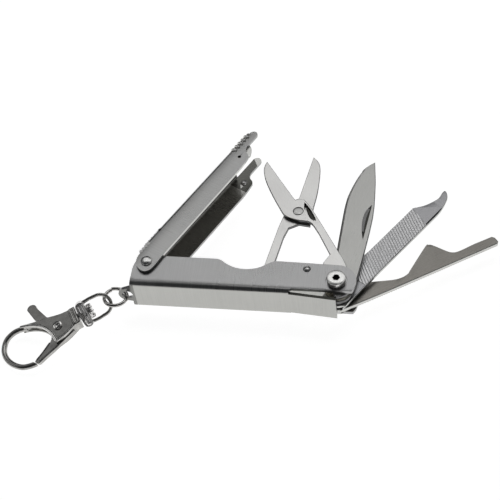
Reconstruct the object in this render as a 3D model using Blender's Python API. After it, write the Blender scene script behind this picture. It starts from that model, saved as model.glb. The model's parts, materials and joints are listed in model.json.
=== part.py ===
"""Keychain multi tool: folded channel body, hinged cover, five fold-out pieces and a swivel clasp.

Metres, +Z up.  The tool lies on its side.  The origin is on the main pivot's axis, level with the
surface that it rests on.  +X points from the clasp to the pivot and +Y out of the channel's open side.
Dimensions below are in millimetres.
"""
import math

import bmesh
import bpy
from mathutils import Vector

MM = 0.001

# Body channel
SHEET = 1.2            # sheet thickness
BODY_LOW, BODY_HIGH = 1.9, 13.9
BODY_LEFT = -64.3
SPINE_Y = -5.04        # outer face of the spine
BEND = 1.5             # outer bend radius
ROUND_END = 6.1        # radius of the end around the main pivot
SLOT_X, SLOT_Y = -13.3, -3.6   # where the leaf spring is freed from the walls
OPEN_Y = 6.4           # edge of the walls on the open side
LEAF_TIP, LEAF_SPREAD = 0.3, -6.4
BODY_MIDDLE = (BODY_LOW + BODY_HIGH) / 2

# Eye tab on the spine
EYE_X, EYE_RADIUS, EYE_HOLE = -65.7, 2.9, 1.8
RING_X = -66.2         # where the ring passes through the eye

# Cover arm
RIVET_X, RIVET_Y = -60.0, 3.25
COVER_ANGLE = 62.0
COVER_SHEET, COVER_GAP = 0.9, 0.2
COVER_SPINE = 5.3
COVER_LOW = BODY_LOW - COVER_GAP - COVER_SHEET
COVER_HIGH = BODY_HIGH + COVER_GAP + COVER_SHEET
DETENT_REACH, DETENT_OFFSET = 50.5, 0.7   # from the cover rivet, along and across
DETENT_HOLE = 0.6

# Main pivot
HEAD_RADIUS, SLEEVE_RADIUS, BORE = 2.9, 2.05, 2.25
SEAT_RADIUS, SEAT_DEPTH = 3.4, 0.35
TOP = 15.8             # top of the screw head and of the cover rivet
TANG = 4.9             # tang radius of the fold-out pieces
WASHER_RADIUS = 3.9

# Layers between the walls: low and high face
OPENER_LAYER = (3.9, 5.5)
FILE_LAYER = (6.3, 7.7)
KNIFE_LAYER = (8.5, 9.8)
BLADE_B_LAYER = (10.0, 11.1)
BLADE_A_LAYER = (11.3, 12.4)
RUNNING_GAP = 0.2

# Directions of the fold-out pieces, degrees from +X
KNIFE_ANGLE, FILE_ANGLE, OPENER_ANGLE, SCISSORS_ANGLE, BLADE_B_ANGLE = 82.0, 56.0, 31.0, 118.3, 85.0
SCISSORS_REACH = 32.0  # main pivot to scissors rivet
SCISSORS_RIVET = 1.75

# Clasp
RING_RADIUS, RING_WIRE, RING_TILT, RING_DIRECTION = 3.6, 0.6, 8.0, 212.0
CLASP_POINT = (-77.5, -11.7, 6.9)
CLASP_YAW, CLASP_PITCH, LOOP_ROLL = 210.7, 11.6, -50.0
LOOP_WIRE, LOOP_HALF, LOOP_END = 0.6, 3.4, -8.0
POST_RADIUS = 1.05
POST_HEAD = 2.05
GATE_X, GATE_Y = 10.0, 0.3
HOOK_WIRE = 0.95
COLLAR_HALF, COLLAR_THICK = 3.3, 2.1
CLAW_HALF = 1.6        # half the claw's thickness
SLOT_HALF = 0.8        # half the slot that the gate lever runs in
LEVER_HALF = 0.62
GATE_REACH = 13.3      # gate rivet to the gate's tip
GATE_BORE = 0.95


def arc(centre, radius, start, end, steps):
    """Points on a circle from start to end, in degrees."""
    angles = [math.radians(start + (end - start) * i / steps) for i in range(steps + 1)]
    return [(centre[0] + radius * math.cos(a), centre[1] + radius * math.sin(a)) for a in angles]


def smooth(points, steps=4):
    """A rounded line through the points."""
    ends = [points[0]] + list(points) + [points[-1]]
    line = []
    for i in range(1, len(ends) - 2):
        p = [Vector(q) for q in ends[i - 1:i + 3]]
        for k in range(steps):
            t = k / steps
            line.append(tuple(0.5 * (2 * p[1] + (p[2] - p[0]) * t
                                     + (2 * p[0] - 5 * p[1] + 4 * p[2] - p[3]) * t ** 2
                                     + (3 * p[1] - p[0] - 3 * p[2] + p[3]) * t ** 3)))
    return line + [tuple(points[-1])]


def material(name, colour, roughness, metallic=1.0):
    made = bpy.data.materials.new(name)
    made.use_nodes = True
    shader = made.node_tree.nodes["Principled BSDF"]
    shader.inputs["Base Color"].default_value = (*colour, 1)
    shader.inputs["Roughness"].default_value = roughness
    shader.inputs["Metallic"].default_value = metallic
    made.diffuse_color = (*colour, 1)
    return made


def add_object(name, bm, colour=(0.6, 0.6, 0.6), roughness=0.35):
    """An object from a bmesh whose coordinates are in millimetres."""
    bmesh.ops.scale(bm, vec=(MM, MM, MM), verts=bm.verts)
    bmesh.ops.recalc_face_normals(bm, faces=bm.faces)
    mesh = bpy.data.meshes.new(name)
    bm.to_mesh(mesh)
    bm.free()
    made = bpy.data.objects.new(name, mesh)
    bpy.context.collection.objects.link(made)
    mesh.materials.append(material(name + "_steel", colour, roughness))
    return made


def prism_mesh(points, low, high, axis="Z"):
    """A closed prism: an outline in the plane across the axis, from low to high along it."""
    place = {"Z": lambda a, b, h: (a, b, h),
             "X": lambda a, b, h: (h, a, b),
             "Y": lambda a, b, h: (a, h, b)}[axis]
    bm = bmesh.new()
    rings = [[bm.verts.new(place(a, b, h)) for a, b in points] for h in (low, high)]
    count = len(points)
    bm.faces.new(rings[0])
    bm.faces.new(rings[1])
    for i in range(count):
        j = (i + 1) % count
        bm.faces.new((rings[0][i], rings[0][j], rings[1][j], rings[1][i]))
    return bm


def prism(name, points, low, high, axis="Z", **look):
    return add_object(name, prism_mesh(points, low, high, axis), **look)


def disc(name, centre, radius, low, high, axis="Z", steps=32, **look):
    return prism(name, arc(centre, radius, 0, 360 - 360 / steps, steps - 1), low, high, axis, **look)


def lathe(name, profile, steps=32, **look):
    """A solid turned about Z from (radius, height) pairs that start and end on the axis."""
    bm = bmesh.new()
    rings = []
    for radius, height in profile:
        if radius == 0:
            rings.append([bm.verts.new((0, 0, height))])
            continue
        circle = arc((0, 0), radius, 0, 360 - 360 / steps, steps - 1)
        rings.append([bm.verts.new((x, y, height)) for x, y in circle])
    for below, above in zip(rings, rings[1:]):
        for i in range(steps):
            j = (i + 1) % steps
            corners = [below[i % len(below)], below[j % len(below)],
                       above[j % len(above)], above[i % len(above)]]
            bm.faces.new(list(dict.fromkeys(corners)))
    return add_object(name, bm, **look)


def wire(name, points, radius, **look):
    """A round wire along points in millimetres, with closed ends."""
    curve = bpy.data.curves.new(name, "CURVE")
    curve.dimensions = "3D"
    curve.bevel_depth = radius * MM
    curve.bevel_resolution = 3
    curve.use_fill_caps = True
    spline = curve.splines.new("POLY")
    spline.points.add(len(points) - 1)
    for point, place in zip(spline.points, points):
        point.co = (*[c * MM for c in place], 1)
    made = bpy.data.objects.new(name, curve)
    bpy.context.collection.objects.link(made)
    look = {"colour": (0.7, 0.7, 0.7), "roughness": 0.15, **look}
    curve.materials.append(material(name + "_steel", look["colour"], look["roughness"]))
    return made


def combine(target, tool, operation):
    """Adds, cuts or trims the target by a hidden tool object."""
    tool.hide_render = True
    tool.display_type = "WIRE"
    tool.hide_set(True)
    step = target.modifiers.new(operation.lower(), "BOOLEAN")
    step.operation = operation
    step.solver = "EXACT"
    step.object = tool


def hang(piece, parent, place=(0, 0, 0), turn=(0, 0, 0)):
    """Puts a piece under its parent, placed in millimetres and turned in degrees."""
    piece.parent = parent
    piece.location = [c * MM for c in place]
    piece.rotation_euler = [math.radians(a) for a in turn]
    return piece


def empty(name, place=(0, 0, 0), turn=(0, 0, 0), parent=None):
    made = bpy.data.objects.new(name, None)
    bpy.context.collection.objects.link(made)
    return hang(made, parent, place, turn)


def channel_profile(low, high, spine, sheet, bend, depth, side):
    """A U section: walls at low and high, spine at one side, open at depth; side is the spine's sign."""
    inner = bend - sheet if bend > sheet else 0.1
    base = spine - side * bend
    turn = 180 if side < 0 else 0
    outer_top = arc((base, high - bend), bend, 90, turn, 6)
    outer_bottom = arc((base, low + bend), bend, turn, 270 if side < 0 else -90, 6)
    core = spine - side * (sheet + inner)
    inner_bottom = arc((core, low + sheet + inner), inner, 270 if side < 0 else -90, turn, 4)
    inner_top = arc((core, high - sheet - inner), inner, turn, 90, 4)
    return ([(depth, high)] + outer_top + outer_bottom + [(depth, low), (depth, low + sheet)]
            + inner_bottom + inner_top + [(depth, high - sheet)])


def body_outline():
    """The side view that trims the folded channel."""
    below = SPINE_Y - 1
    slot_end = arc((SLOT_X - 0.1, SLOT_Y - 0.9), 0.9, 180, 90, 4)
    end = arc((0, 0), ROUND_END, -36, 90, 16)
    scallop = smooth([(-18.0, 6.55), (-20.2, 6.35), (-22.1, 5.2), (-24.9, 3.6), (-28.4, 2.9), (-31.9, 3.3),
                      (-34.8, 4.6), (-36.6, 5.9), (-38.2, OPEN_Y)], 3)
    corner = smooth([(-59.6, OPEN_Y), (-62.3, 5.5), (-63.8, 3.6), (BODY_LEFT, 1.2)], 3)
    return ([(BODY_LEFT, below), (slot_end[0][0], below)] + slot_end + [(4.6, SLOT_Y)] + end
            + scallop + corner)


def make_body(root):
    """Folded channel with the leaf spring, the eye tab and the detent dimples in one sheet."""
    section = channel_profile(BODY_LOW, BODY_HIGH, SPINE_Y, SHEET, BEND, OPEN_Y + 1.5, -1)
    body = prism("body_channel", section, BODY_LEFT - 1, ROUND_END + 1, "X", colour=(0.52, 0.52, 0.51))
    combine(body, prism("body_trim", body_outline(), 0, TOP), "INTERSECT")
    inset = 0.09
    leaf = [(-15.4, SPINE_Y + inset), (LEAF_TIP, LEAF_SPREAD), (LEAF_TIP, LEAF_SPREAD + 0.95),
            (-15.4, SPINE_Y + SHEET - inset)]
    combine(body, prism("leaf_spring_blank", leaf, BODY_LOW + SHEET + 0.1, BODY_HIGH - SHEET - 0.1), "UNION")
    tab = arc((EYE_X, BODY_MIDDLE), EYE_RADIUS, 115, 270, 14)
    tab += [(BODY_LEFT + 0.8, BODY_MIDDLE - 3.2), (BODY_LEFT + 0.8, BODY_HIGH - BEND - 0.2)]
    combine(body, prism("eye_tab_blank", tab, SPINE_Y + inset, SPINE_Y + SHEET - inset, "Y"), "UNION")
    combine(body, disc("eye_hole_cutter", (EYE_X, BODY_MIDDLE), EYE_HOLE, SPINE_Y - 2, SPINE_Y + 4, "Y"),
            "DIFFERENCE")
    dimple = (RIVET_X + DETENT_REACH, RIVET_Y + DETENT_OFFSET)
    for name, face, side in (("dimple_top", BODY_HIGH, 1), ("dimple_bottom", BODY_LOW, -1)):
        ring = [(0, -0.5 * side), (0.75, -0.5 * side), (0.75, 0), (0.5, 0.12 * side), (0, 0.17 * side)]
        bump = lathe(name, ring, 16)
        bump.location = (dimple[0] * MM, dimple[1] * MM, face * MM)
        combine(body, bump, "UNION")
    combine(body, disc("pivot_hole_cutter", (0, 0), BORE, 0, TOP), "DIFFERENCE")
    combine(body, disc("pivot_seat_cutter", (0, 0), SEAT_RADIUS, BODY_HIGH - SEAT_DEPTH, TOP), "DIFFERENCE")
    combine(body, disc("rivet_hole_cutter", (RIVET_X, RIVET_Y), 1.3, 0, TOP, steps=24), "DIFFERENCE")
    hang(body, root)


def cover_outline():
    """The cover's side view, from its rivet."""
    bend_line = COVER_SPINE - BEND
    end = smooth([(4.2, -2.9), (0.6, -3.15), (-2.2, -2.9), (-3.6, -1.4), (-3.3, 0.9), (-1.8, 2.8),
                  (0.6, bend_line), (4.6, bend_line)], 3)
    tip = arc((61.0, 2.65), 1.45, 90, -90, 8)
    notch = smooth([(57.2, 1.2), (55.2, 1.15), (53.7, 0.5), (53.0, -0.6), (52.7, -1.3)], 3)
    lip = smooth([(51.8, -2.0), (47.5, -2.5), (42.0, -2.65)], 3)
    past = COVER_SPINE + 1.5
    return (end + [(5.2, bend_line + 0.6), (5.2, past), (51.6, past), (51.6, bend_line + 0.3)]
            + tip + notch + lip)


def make_cover(root):
    """The channel that closes over the open side, with thumb ribs on its spine."""
    hinge = empty("cover_hinge", (RIVET_X, RIVET_Y, 0), (0, 0, COVER_ANGLE), root)
    section = channel_profile(COVER_LOW, COVER_HIGH, COVER_SPINE, COVER_SHEET, BEND, -5.0, 1)
    cover = prism("cover_arm", section, -6, 64, "X", colour=(0.5, 0.5, 0.49))
    combine(cover, prism("cover_trim", cover_outline(), -1, TOP + 1), "INTERSECT")
    for i in range(5):
        x = 6.2 + 1.5 * i
        rib = prism("cover_rib_%d" % i, arc((x, COVER_SPINE - 0.1), 0.5, 0, 180, 6), COVER_LOW + BEND,
                    COVER_HIGH - BEND)
        combine(cover, rib, "UNION")
        hang(rib, hinge)
    for name, radius, x, y in (("cover_rivet_hole", 1.3, 0, 0),
                               ("detent_hole_cutter", DETENT_HOLE, DETENT_REACH, DETENT_OFFSET)):
        cutter = disc(name, (x, y), radius, -1, TOP + 1, steps=20)
        combine(cover, cutter, "DIFFERENCE")
        hang(cutter, hinge)
    hang(bpy.data.objects["cover_trim"], hinge)
    hang(cover, hinge)


def make_cover_rivet(root):
    head, shank, proud = 1.75, 1.1, 0.12
    low, high = COVER_LOW - proud, COVER_HIGH + proud
    profile = [(0, 0), (1.1, 0), (head, low - 0.2), (head, low), (shank, low), (shank, high), (head, high),
               (head, high + 0.2), (1.3, TOP - 0.15), (0.7, TOP), (0, TOP)]
    rivet = lathe("cover_rivet", profile, 28, colour=(0.62, 0.62, 0.6), roughness=0.25)
    hang(rivet, root, (RIVET_X, RIVET_Y, 0))


def make_main_pivot(root):
    """Socket-head screw from above, sleeve nut from below, and the spacers between the layers."""
    seat = BODY_HIGH - SEAT_DEPTH + 0.1
    shank = 1.45
    screw = lathe("pivot_screw", [(0, 2.6), (shank, 2.6), (shank, seat), (HEAD_RADIUS, seat),
                                  (HEAD_RADIUS, TOP - 0.45), (HEAD_RADIUS - 0.45, TOP), (0, TOP)],
                  40, colour=(0.66, 0.66, 0.64), roughness=0.3)
    socket = disc("socket_cutter", (0, 0), 1.15, TOP - 1.5, TOP + 1, steps=6)
    combine(screw, socket, "DIFFERENCE")
    hang(screw, root)
    inner = shank + 0.15
    nut = lathe("pivot_nut", [(0, 0), (HEAD_RADIUS - 0.3, 0), (HEAD_RADIUS, 0.3), (HEAD_RADIUS, BODY_LOW - 0.1),
                              (SLEEVE_RADIUS, BODY_LOW - 0.1), (SLEEVE_RADIUS, seat - 0.2),
                              (inner, seat - 0.2), (inner, 2.4), (0, 2.4)], 36, colour=(0.6, 0.6, 0.58))
    hang(nut, root)
    layers = [(BODY_LOW + SHEET, OPENER_LAYER[0]), (OPENER_LAYER[1], FILE_LAYER[0]),
              (FILE_LAYER[1], KNIFE_LAYER[0]), (KNIFE_LAYER[1], BLADE_A_LAYER[0])]
    names = ("washer_wall", "washer_opener", "washer_file", "spacer_scissors")
    for name, (low, high) in zip(names, layers):
        outer = arc((0, 0), WASHER_RADIUS, 0, 350, 35)
        washer = prism(name, outer, low + RUNNING_GAP, high - RUNNING_GAP, colour=(0.6, 0.58, 0.5))
        cutter = disc(name + "_cutter", (0, 0), BORE, 0, TOP)
        combine(washer, cutter, "DIFFERENCE")
        hang(washer, root)


def fold_out(name, outline, layer, angle, root, **look):
    """A flat piece on the main pivot: its outline starts and ends at the tang circle."""
    hinge = empty(name + "_hinge", (0, 0, 0), (0, 0, angle), root)
    piece = prism(name, outline, *layer, **look)
    bore = disc(name + "_bore_cutter", (0, 0), BORE, 0, TOP)
    combine(piece, bore, "DIFFERENCE")
    hang(bore, hinge)
    hang(piece, hinge)
    return hinge, piece


def make_knife(root):
    tang = arc((0, 0), TANG, 135, 268, 14)
    back = [(11.7, -5.0), (30.0, -4.4), (40.6, -2.8)]
    point = smooth([(40.6, -2.8), (47.5, -1.3), (53.0, 0.1)], 4)[1:]
    belly = smooth([(53.0, 0.1), (50.6, 2.2), (47.2, 3.8), (40.2, 5.2), (33.0, 5.5), (15.8, 3.9),
                    (8.0, 3.4)], 4)[1:]
    hinge, knife = fold_out("knife_blade", tang + back[:2] + point + belly, KNIFE_LAYER, KNIFE_ANGLE, root,
                            colour=(0.46, 0.46, 0.46))
    nick = arc((30.0, -26.3), 24.2, 73, 107, 10)
    nick += arc((30.0, -9.1), 9.4, 138, 42, 6)
    cutter = prism("nail_nick_cutter", nick, KNIFE_LAYER[1] - 0.35, KNIFE_LAYER[1] + 1)
    combine(knife, cutter, "DIFFERENCE")
    hang(cutter, hinge)


def make_file(root):
    tang = arc((0, 0), TANG, 140, 268, 14)
    hook = smooth([(41.0, 2.6), (43.8, 0.5), (46.5, -0.7), (49.3, -1.4), (51.5, -1.0), (53.0, -1.0)], 4)
    tip = smooth([(53.0, -1.0), (52.6, -2.2), (50.8, -3.7), (46.9, -4.9), (43.8, -5.3), (40.3, -5.3)], 4)[1:]
    outline = tang + [(9.0, -5.0)] + tip[::-1] + hook[::-1][1:] + [(19.3, 2.8), (8.0, 3.4)]
    fold_out("nail_file", outline, FILE_LAYER, FILE_ANGLE, root, colour=(0.42, 0.42, 0.42))


def make_opener(root):
    tang = arc((0, 0), TANG, 140, 268, 14)
    tip = [(53.6, -4.1), (54.2, -3.4), (54.0, -1.6), (53.3, -0.8)]
    arm = smooth([(53.3, -0.8), (47.5, -0.8), (41.4, -1.1), (39.2, -0.4), (37.8, 1.2), (35.4, 4.7), (34.2, 5.6),
                  (33.0, 5.4), (24.9, -0.5), (23.2, -1.7), (20.8, -2.1), (18.0, -1.6), (13.0, 0.3),
                  (8.5, 2.0)], 3)[1:]
    outline = tang + [(16.9, -4.9), (38.2, -4.3)] + tip + arm
    fold_out("bottle_opener", outline, OPENER_LAYER, OPENER_ANGLE, root, colour=(0.33, 0.32, 0.31))


def make_scissors(root):
    """Blade A turns on the main pivot; blade B turns on the rivet that joins them."""
    tang = arc((0, 0), TANG, 150, 232, 10)
    right = [(5.7, -5.5), (13.0, -5.3), (27.6, -4.6), (33.0, -4.1), (35.8, -3.5), (36.9, -1.6), (38.5, -0.6)]
    outer = smooth([(56.3, 1.5), (54.0, 3.5), (49.8, 4.7), (44.2, 5.1), (37.0, 5.0), (32.1, 4.5),
                    (28.9, 1.9)], 3)
    arm = smooth([(27.2, -0.6), (25.4, -2.0), (20.7, -2.5)], 3) + [(11.5, -2.5), (9.4, 0.6), (6.5, 1.6)]
    hinge, blade_a = fold_out("scissor_blade_upper", tang + right + outer + arm, BLADE_A_LAYER, SCISSORS_ANGLE,
                              root, colour=(0.66, 0.66, 0.64))
    slot = arc((29.8, -9.2), 7.4, 58, 122, 8) + arc((29.8, -17.0), 14.2, 106, 74, 6)
    hole = disc("blade_a_rivet_cutter", (SCISSORS_REACH, 0), SCISSORS_RIVET + 0.15, 0, TOP)
    for cutter in (prism("spring_slot_cutter", slot, 0, TOP), hole):
        combine(blade_a, cutter, "DIFFERENCE")
        hang(cutter, hinge)
    rivet = disc("scissor_rivet", (0, 0), SCISSORS_RIVET, BLADE_B_LAYER[0], BLADE_A_LAYER[1] + 0.1,
                 colour=(0.7, 0.7, 0.68))
    hang(rivet, hinge, (SCISSORS_REACH, 0, 0))
    joint = empty("scissor_joint", (SCISSORS_REACH, 0, 0), (0, 0, BLADE_B_ANGLE - SCISSORS_ANGLE), hinge)
    edge = [(6.4, 1.2), (24.6, 0.0)]
    back = smooth([(24.6, 0.0), (22.4, -2.2), (18.8, -3.4), (10.0, -4.3), (2.6, -4.3), (-4.4, -4.7)], 3)[1:]
    leg = [(-4.2, -1.0), (-6.2, 1.9), (-10.0, 2.7), (-27.6, 3.9)]
    foot = arc((-28.2, 5.3), 1.4, 290, 110, 8)
    side = smooth([(-22.1, 6.4), (-8.0, 5.4), (-1.2, 4.6), (2.6, 4.2), (5.4, 2.6)], 3)
    blade_b = prism("scissor_blade_lower", edge + back + leg + foot + side, *BLADE_B_LAYER,
                    colour=(0.64, 0.64, 0.62))
    hole = disc("blade_b_rivet_cutter", (0, 0), SCISSORS_RIVET + 0.15, 0, TOP)
    combine(blade_b, hole, "DIFFERENCE")
    hang(hole, joint)
    hang(blade_b, joint)
    low, high = BLADE_B_LAYER[0] + 0.1, BLADE_B_LAYER[1] - 0.1
    strip = [(14.0, -3.1), (14.0, -4.9), (18.4, -4.75), (26.4, -4.25), (27.5, -3.95), (27.4, -3.6), (26.4, -3.8),
             (18.6, -4.2), (16.6, -3.1)]
    hang(prism("scissor_spring", strip, low, high, colour=(0.4, 0.4, 0.42)), hinge)


def ring_centre():
    """The jump ring's centre: one ring radius from the eye, along its direction."""
    turn = math.radians(RING_DIRECTION)
    eye_y = SPINE_Y + SHEET / 2
    return (RING_X + RING_RADIUS * math.cos(turn), eye_y + RING_RADIUS * math.sin(turn), BODY_MIDDLE)


def make_jump_ring(root):
    """A split ring of round wire through the eye, its cut on the clasp's side."""
    hinge = empty("ring_hinge", (RING_X, SPINE_Y + SHEET / 2, BODY_MIDDLE), (0, 0, 0), root)
    centre = ring_centre()
    lift = math.tan(math.radians(RING_TILT))
    points = []
    for x, y in arc((centre[0], centre[1]), RING_RADIUS, 128, 480, 44):
        x, y = x - RING_X, y - SPINE_Y - SHEET / 2
        points.append((x, y, -y * lift))
    hang(wire("jump_ring", points, RING_WIRE), hinge)


def make_swivel_loop(clasp):
    """The loop and the block that carries the swivel post, one casting."""
    sides = smooth([(0.5, LOOP_HALF), (-2.5, LOOP_HALF + 0.15)], 3)
    bow = arc((LOOP_END + LOOP_HALF, 0), LOOP_HALF, 90, 270, 16)
    path = sides + bow + [(x, -y) for x, y in sides[::-1]]
    bow_tool = solid_wire("swivel_bow", path, LOOP_WIRE)
    half, thick = 4.2, 1.6
    side = smooth([(-0.35, 2.4), (0.0, 3.9), (1.3, half), (2.4, 3.6), (2.6, 2.0)], 3)
    block = prism("swivel_loop", side + [(x, -y) for x, y in side[::-1]], -thick, thick,
                  colour=(0.6, 0.6, 0.6), roughness=0.15)
    bore = disc("swivel_bore_cutter", (0, 0), POST_RADIUS + 0.2, -4, 6, "X", steps=20)
    combine(block, bow_tool, "UNION")
    combine(block, bore, "DIFFERENCE")
    for piece in (block, bow_tool, bore):
        hang(piece, clasp, (0, 0, 0), (LOOP_ROLL, 0, 0))


def solid_wire(name, path, radius):
    """A round wire through (x, y) points, as a mesh."""
    curve = wire(name + "_line", [(x, y, 0) for x, y in path], radius)
    mesh = bpy.data.meshes.new_from_object(curve)
    bpy.data.objects.remove(curve)
    made = bpy.data.objects.new(name, mesh)
    bpy.context.collection.objects.link(made)
    return made


def make_swivel_post(clasp):
    """The headed pin that the claw turns on."""
    profile = [(0, -1.8), (0.9, -1.75), (1.6, -1.5), (POST_HEAD, -1.05), (POST_HEAD, -0.55),
               (POST_RADIUS, -0.55), (POST_RADIUS, 5.2), (0, 5.2)]
    post = lathe("swivel_post", profile, 20, colour=(0.68, 0.68, 0.68), roughness=0.15)
    hang(post, clasp, (0, 0, 0), (0, 90, 0))


def make_claw(clasp):
    """The claw: collar, slotted body and hook in one casting."""
    top = smooth([(3.0, -3.3), (5.6, -3.2), (8.5, -3.55), (12.2, -4.6), (16.9, -5.6), (20.0, -6.6)], 3)
    inner = smooth([(20.4, -5.6), (18.2, -4.6), (16.2, -3.15), (14.6, -1.45), (13.7, 0.25), (13.0, 2.15),
                    (12.8, 4.05), (12.6, 5.6)], 3)
    low = smooth([(12.4, 5.8), (11.6, 5.65), (8.8, 5.05), (5.6, 3.75), (4.7, 3.2), (3.0, 3.3)], 3)
    claw = prism("claw_body", top + inner + low, -CLAW_HALF, CLAW_HALF,
                 colour=(0.68, 0.68, 0.68), roughness=0.12)
    path = smooth([(17.6, -5.2), (20.3, -6.2), (22.6, -6.75), (24.6, -6.6), (26.8, -5.6), (28.3, -3.7),
                   (29.1, -1.3), (28.9, 1.5), (27.6, 4.4), (25.5, 6.7), (23.3, 7.75), (20.6, 8.25)], 3)
    hook = solid_wire("hook", path, HOOK_WIRE)
    collar = prism("collar", [(3.0, -COLLAR_HALF), (4.9, -COLLAR_HALF), (4.9, COLLAR_HALF), (3.0, COLLAR_HALF)],
                   -COLLAR_THICK, COLLAR_THICK)
    slot_edge = [(5.9, -8.5), (17.3, -8.5), (16.9, -4.9), (19.4, -5.5), (20.6, -4.0), (15.8, 9.0), (6.2, 9.0),
                 (5.9, 3.4)]
    slot = prism("slot_cutter", slot_edge, -SLOT_HALF, SLOT_HALF)
    swept = arc((GATE_X, GATE_Y), GATE_REACH + 0.25, 25, 46, 8)
    swept += arc((GATE_X, GATE_Y), GATE_REACH - 2, 46, 25, 4)
    gate_path = prism("gate_path_cutter", swept, -3, 3)
    post_bore = disc("post_bore_cutter", (0, 0), POST_RADIUS + 0.15, 2.0, 5.4, "X", steps=20)
    pin_bore = disc("pin_bore_cutter", (GATE_X, GATE_Y), GATE_BORE, -4, 4, steps=20)
    combine(claw, hook, "UNION")
    combine(claw, collar, "UNION")
    for cutter in (slot, gate_path, post_bore, pin_bore):
        combine(claw, cutter, "DIFFERENCE")
    for piece in (claw, hook, collar, slot, gate_path, post_bore, pin_bore):
        hang(piece, clasp)


def make_gate(clasp):
    """Thumb lever and gate in one piece, its rivet and its return spring."""
    hinge = empty("gate_hinge", (GATE_X, GATE_Y, 0), (0, 0, 0), clasp)
    hub = arc((0, 0), 2.1, 150, 215, 6)
    thumb = [(2.4, -6.0), (4.2, -11.0)] + arc((5.8, -11.6), 1.65, 190, 345, 8) + [(6.3, -7.2), (4.9, -4.2)]
    gate = smooth([(2.9, -1.2), (3.2, 1.6), (4.2, 3.4), (7.5, 5.3), (10.2, 6.7)], 3)
    tip = arc((0, 0), GATE_REACH, 34, 40.5, 4)
    back = smooth([(9.6, 8.7), (7.0, 7.8), (4.2, 7.0), (1.3, 6.0), (-2.3, 4.7), (-3.9, 4.1), (-4.0, 3.7),
                   (-3.4, 3.3), (-1.9, 3.3)], 3)
    lever = prism("gate_lever", hub + thumb + gate + tip + back, -LEVER_HALF, LEVER_HALF,
                  colour=(0.66, 0.66, 0.66), roughness=0.12)
    bore = disc("gate_bore_cutter", (0, 0), GATE_BORE, -4, 4, steps=20)
    combine(lever, bore, "DIFFERENCE")
    hang(bore, hinge)
    hang(lever, hinge)
    head, shank, low, high = 1.45, 0.8, CLAW_HALF + 0.1, CLAW_HALF + 0.4
    profile = [(0, -high), (head, -high), (head, -low), (shank, -low), (shank, low), (head, low),
               (head, high - 0.1), (head - 0.3, high), (0, high)]
    pin = lathe("gate_rivet", profile, 20, colour=(0.6, 0.6, 0.6))
    hang(pin, clasp, (GATE_X, GATE_Y, 0))
    spring = prism("gate_spring", [(6.45, -2.6), (6.75, -2.6), (6.75, 3.0), (6.45, 3.0)], -0.5, 0.5,
                   colour=(0.4, 0.4, 0.42))
    hang(spring, clasp)


def build():
    for old in list(bpy.data.objects):
        bpy.data.objects.remove(old)
    root = empty("multi_tool")
    make_body(root)
    make_cover(root)
    make_cover_rivet(root)
    make_main_pivot(root)
    make_knife(root)
    make_file(root)
    make_opener(root)
    make_scissors(root)
    make_jump_ring(root)
    clasp = empty("clasp_frame", CLASP_POINT, (0, CLASP_PITCH, CLASP_YAW), root)
    make_swivel_loop(clasp)
    make_swivel_post(clasp)
    make_claw(clasp)
    make_gate(clasp)


build()
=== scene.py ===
"""The looks of the keychain multi tool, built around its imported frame.

Metres, in the same frame as the CAD.  Shapes are given in millimetres in each piece's own frame:
for a piece on a pivot that is the pivot's axis, with +X along the piece.
"""
import json
import math

import bmesh
import bpy
from mathutils import Matrix, Vector


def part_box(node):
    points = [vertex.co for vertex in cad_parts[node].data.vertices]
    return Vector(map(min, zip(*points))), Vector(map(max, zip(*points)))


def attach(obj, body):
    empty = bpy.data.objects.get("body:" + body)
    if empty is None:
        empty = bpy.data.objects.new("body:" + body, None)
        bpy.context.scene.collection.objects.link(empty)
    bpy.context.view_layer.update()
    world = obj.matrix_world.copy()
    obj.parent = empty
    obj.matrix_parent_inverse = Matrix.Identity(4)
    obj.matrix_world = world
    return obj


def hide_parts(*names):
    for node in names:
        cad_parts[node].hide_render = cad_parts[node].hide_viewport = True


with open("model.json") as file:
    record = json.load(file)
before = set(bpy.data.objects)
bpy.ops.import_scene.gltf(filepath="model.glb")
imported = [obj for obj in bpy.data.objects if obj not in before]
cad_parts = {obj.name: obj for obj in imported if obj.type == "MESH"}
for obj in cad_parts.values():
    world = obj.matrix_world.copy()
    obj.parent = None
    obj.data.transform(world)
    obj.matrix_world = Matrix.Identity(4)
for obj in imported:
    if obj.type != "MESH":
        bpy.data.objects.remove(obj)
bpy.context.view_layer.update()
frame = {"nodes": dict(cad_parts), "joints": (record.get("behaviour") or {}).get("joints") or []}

MM = 0.001
JOINTS = {j["name"]: j for j in frame["joints"]}


# ---------------------------------------------------------------- frames
def joint_point(name):
    """A point on a joint's axis, in metres."""
    return Vector(JOINTS[name]["pos_m"])


def joint_axis(name):
    """The direction of a joint's axis."""
    return Vector(JOINTS[name]["axis"]).normalized()


def turned(joint, degrees):
    """A frame on an upright joint axis, level with the ground, turned about it."""
    p = joint_point(joint)
    return Matrix.Translation((p.x, p.y, 0)) @ Matrix.Rotation(math.radians(degrees), 4, "Z")


def clasp_frame():
    """+X along the clasp from the swivel to the hook, +Z across its flat face."""
    x = joint_axis("clasp_swivel")
    z = joint_axis("gate_press")
    y = z.cross(x)
    made = Matrix((x, y, z)).transposed().to_4x4()
    made.translation = joint_point("clasp_swivel")
    return made


# the frame of each piece, with the degrees from the body's length to its +X in the photograph's pose
BODY = Matrix.Identity(4)
COVER = turned("cover_swing", 62.0)
KNIFE = turned("knife_fold", 82.0)
FILE = turned("file_fold", 56.0)
OPENER = turned("opener_fold", 31.0)
SCISSORS = turned("scissors_fold", 118.3)
LOWER = turned("scissors_squeeze", 85.0)
CLASP = clasp_frame()
LOOP = CLASP @ Matrix.Rotation(math.radians(-50.0), 4, "X")

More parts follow.
